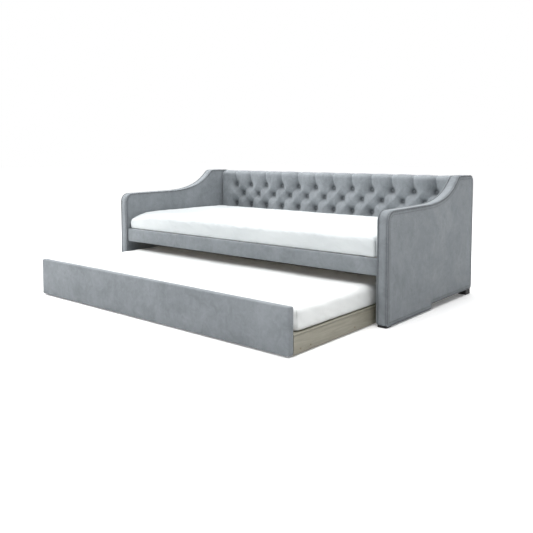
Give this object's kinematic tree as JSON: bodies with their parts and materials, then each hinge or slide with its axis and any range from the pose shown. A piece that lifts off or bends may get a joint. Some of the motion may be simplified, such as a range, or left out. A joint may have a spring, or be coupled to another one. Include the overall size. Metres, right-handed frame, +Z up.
{
  "type": "upholstered daybed with trundle",
  "caption": "Upholstered velvet daybed with swept arms, a button-tufted back, a mattress on slats and a roll-out trundle bed with its own mattress.",
  "frame": {"origin": "on the floor, at the middle of the whole object's box with the trundle drawn out", "axes": "+X along the length of the bed, -Y out of the front towards the drawn trundle, +Z up"},
  "size_m": [2.056, 1.671, 0.716],
  "materials": {
    "velvet": "brushed velvet",
    "velvet_piping": "brushed velvet over cord",
    "lining": "plain weave",
    "frame_timber": "planed",
    "hardboard": "smooth",
    "slat_wood": "sanded",
    "slat_tape": "woven tape",
    "taupe_board": "matt foil",
    "white_sheet": "cotton",
    "black_feet": "matt",
    "bracket_steel": "zinc plated",
    "fastener_steel": "plated",
    "wheel_rubber": "matt"
  },
  "bodies": {
    "daybed_frame": {"left_arm_outer_pad": "velvet", "left_arm_inner_pad": "velvet", "left_arm_border": "velvet", "right_arm_outer_pad": "velvet", "right_arm_inner_pad": "velvet", "right_arm_border": "velvet", "back_pad": "velvet", "back_buttons": "velvet", "front_rail_cover": "velvet", "left_arm_piping": "velvet_piping", "right_arm_piping": "velvet_piping", "back_rear_cover": "lining", "left_arm_core": "frame_timber", "right_arm_core": "frame_timber", "back_top_rail": "frame_timber", "back_bottom_rail": "frame_timber", "back_posts": "frame_timber", "front_rail_core": "frame_timber", "rear_rail": "frame_timber", "slat_ledgers": "frame_timber", "back_board": "hardboard", "slats": "slat_wood", "slat_tapes": "slat_tape", "front_feet": "black_feet", "rear_feet": "black_feet", "corner_brackets": "bracket_steel", "corner_bolts": "fastener_steel"},
    "upper_mattress": {"mattress": "white_sheet"},
    "trundle": {"trundle_front_core": "frame_timber", "trundle_front_cover": "velvet", "trundle_front_lining": "lining", "trundle_left_board": "taupe_board", "trundle_right_board": "taupe_board", "trundle_rear_board": "taupe_board", "trundle_ledgers": "frame_timber", "trundle_centre_beam": "frame_timber", "trundle_slats": "slat_wood", "trundle_base_panel": "taupe_board", "trundle_screws": "fastener_steel", "castor_blocks": "frame_timber", "castor_forks": "bracket_steel", "castor_axles": "fastener_steel", "castor_screws": "fastener_steel"},
    "lower_mattress": {"trundle_mattress": "white_sheet"},
    "castor_front_left": {"wheel_front_left": "wheel_rubber"},
    "castor_front_right": {"wheel_front_right": "wheel_rubber"},
    "castor_rear_left": {"wheel_rear_left": "wheel_rubber"},
    "castor_rear_right": {"wheel_rear_right": "wheel_rubber"}
  },
  "joints": [
    {"name": "trundle_slide", "type": "slide", "parent": "daybed_frame", "child": "trundle", "axis": [0, 1, 0], "range_m": [-0.3, 0.658]},
    {"name": "mattress_lift", "type": "slide", "parent": "daybed_frame", "child": "upper_mattress", "axis": [0, 0, 1], "range_m": [0, 0.35]},
    {"name": "trundle_mattress_lift", "type": "slide", "parent": "trundle", "child": "lower_mattress", "axis": [0, 0, 1], "range_m": [0, 0.05]},
    {"name": "wheel_front_left_spin", "type": "hinge", "parent": "trundle", "child": "castor_front_left", "pos_m": [-0.88, -0.7175, 0.02], "axis": [1, 0, 0], "continuous": true},
    {"name": "wheel_front_right_spin", "type": "hinge", "parent": "trundle", "child": "castor_front_right", "pos_m": [0.88, -0.7175, 0.02], "axis": [1, 0, 0], "continuous": true},
    {"name": "wheel_rear_left_spin", "type": "hinge", "parent": "trundle", "child": "castor_rear_left", "pos_m": [-0.88, 0.0065, 0.02], "axis": [1, 0, 0], "continuous": true},
    {"name": "wheel_rear_right_spin", "type": "hinge", "parent": "trundle", "child": "castor_rear_right", "pos_m": [0.88, 0.0065, 0.02], "axis": [1, 0, 0], "continuous": true}
  ],
  "couplings": [
    {"joint": "wheel_front_left_spin", "follows": "trundle_slide", "rad_per_m": -50},
    {"joint": "wheel_front_right_spin", "follows": "trundle_slide", "rad_per_m": -50},
    {"joint": "wheel_rear_left_spin", "follows": "trundle_slide", "rad_per_m": -50},
    {"joint": "wheel_rear_right_spin", "follows": "trundle_slide", "rad_per_m": -50}
  ]
}
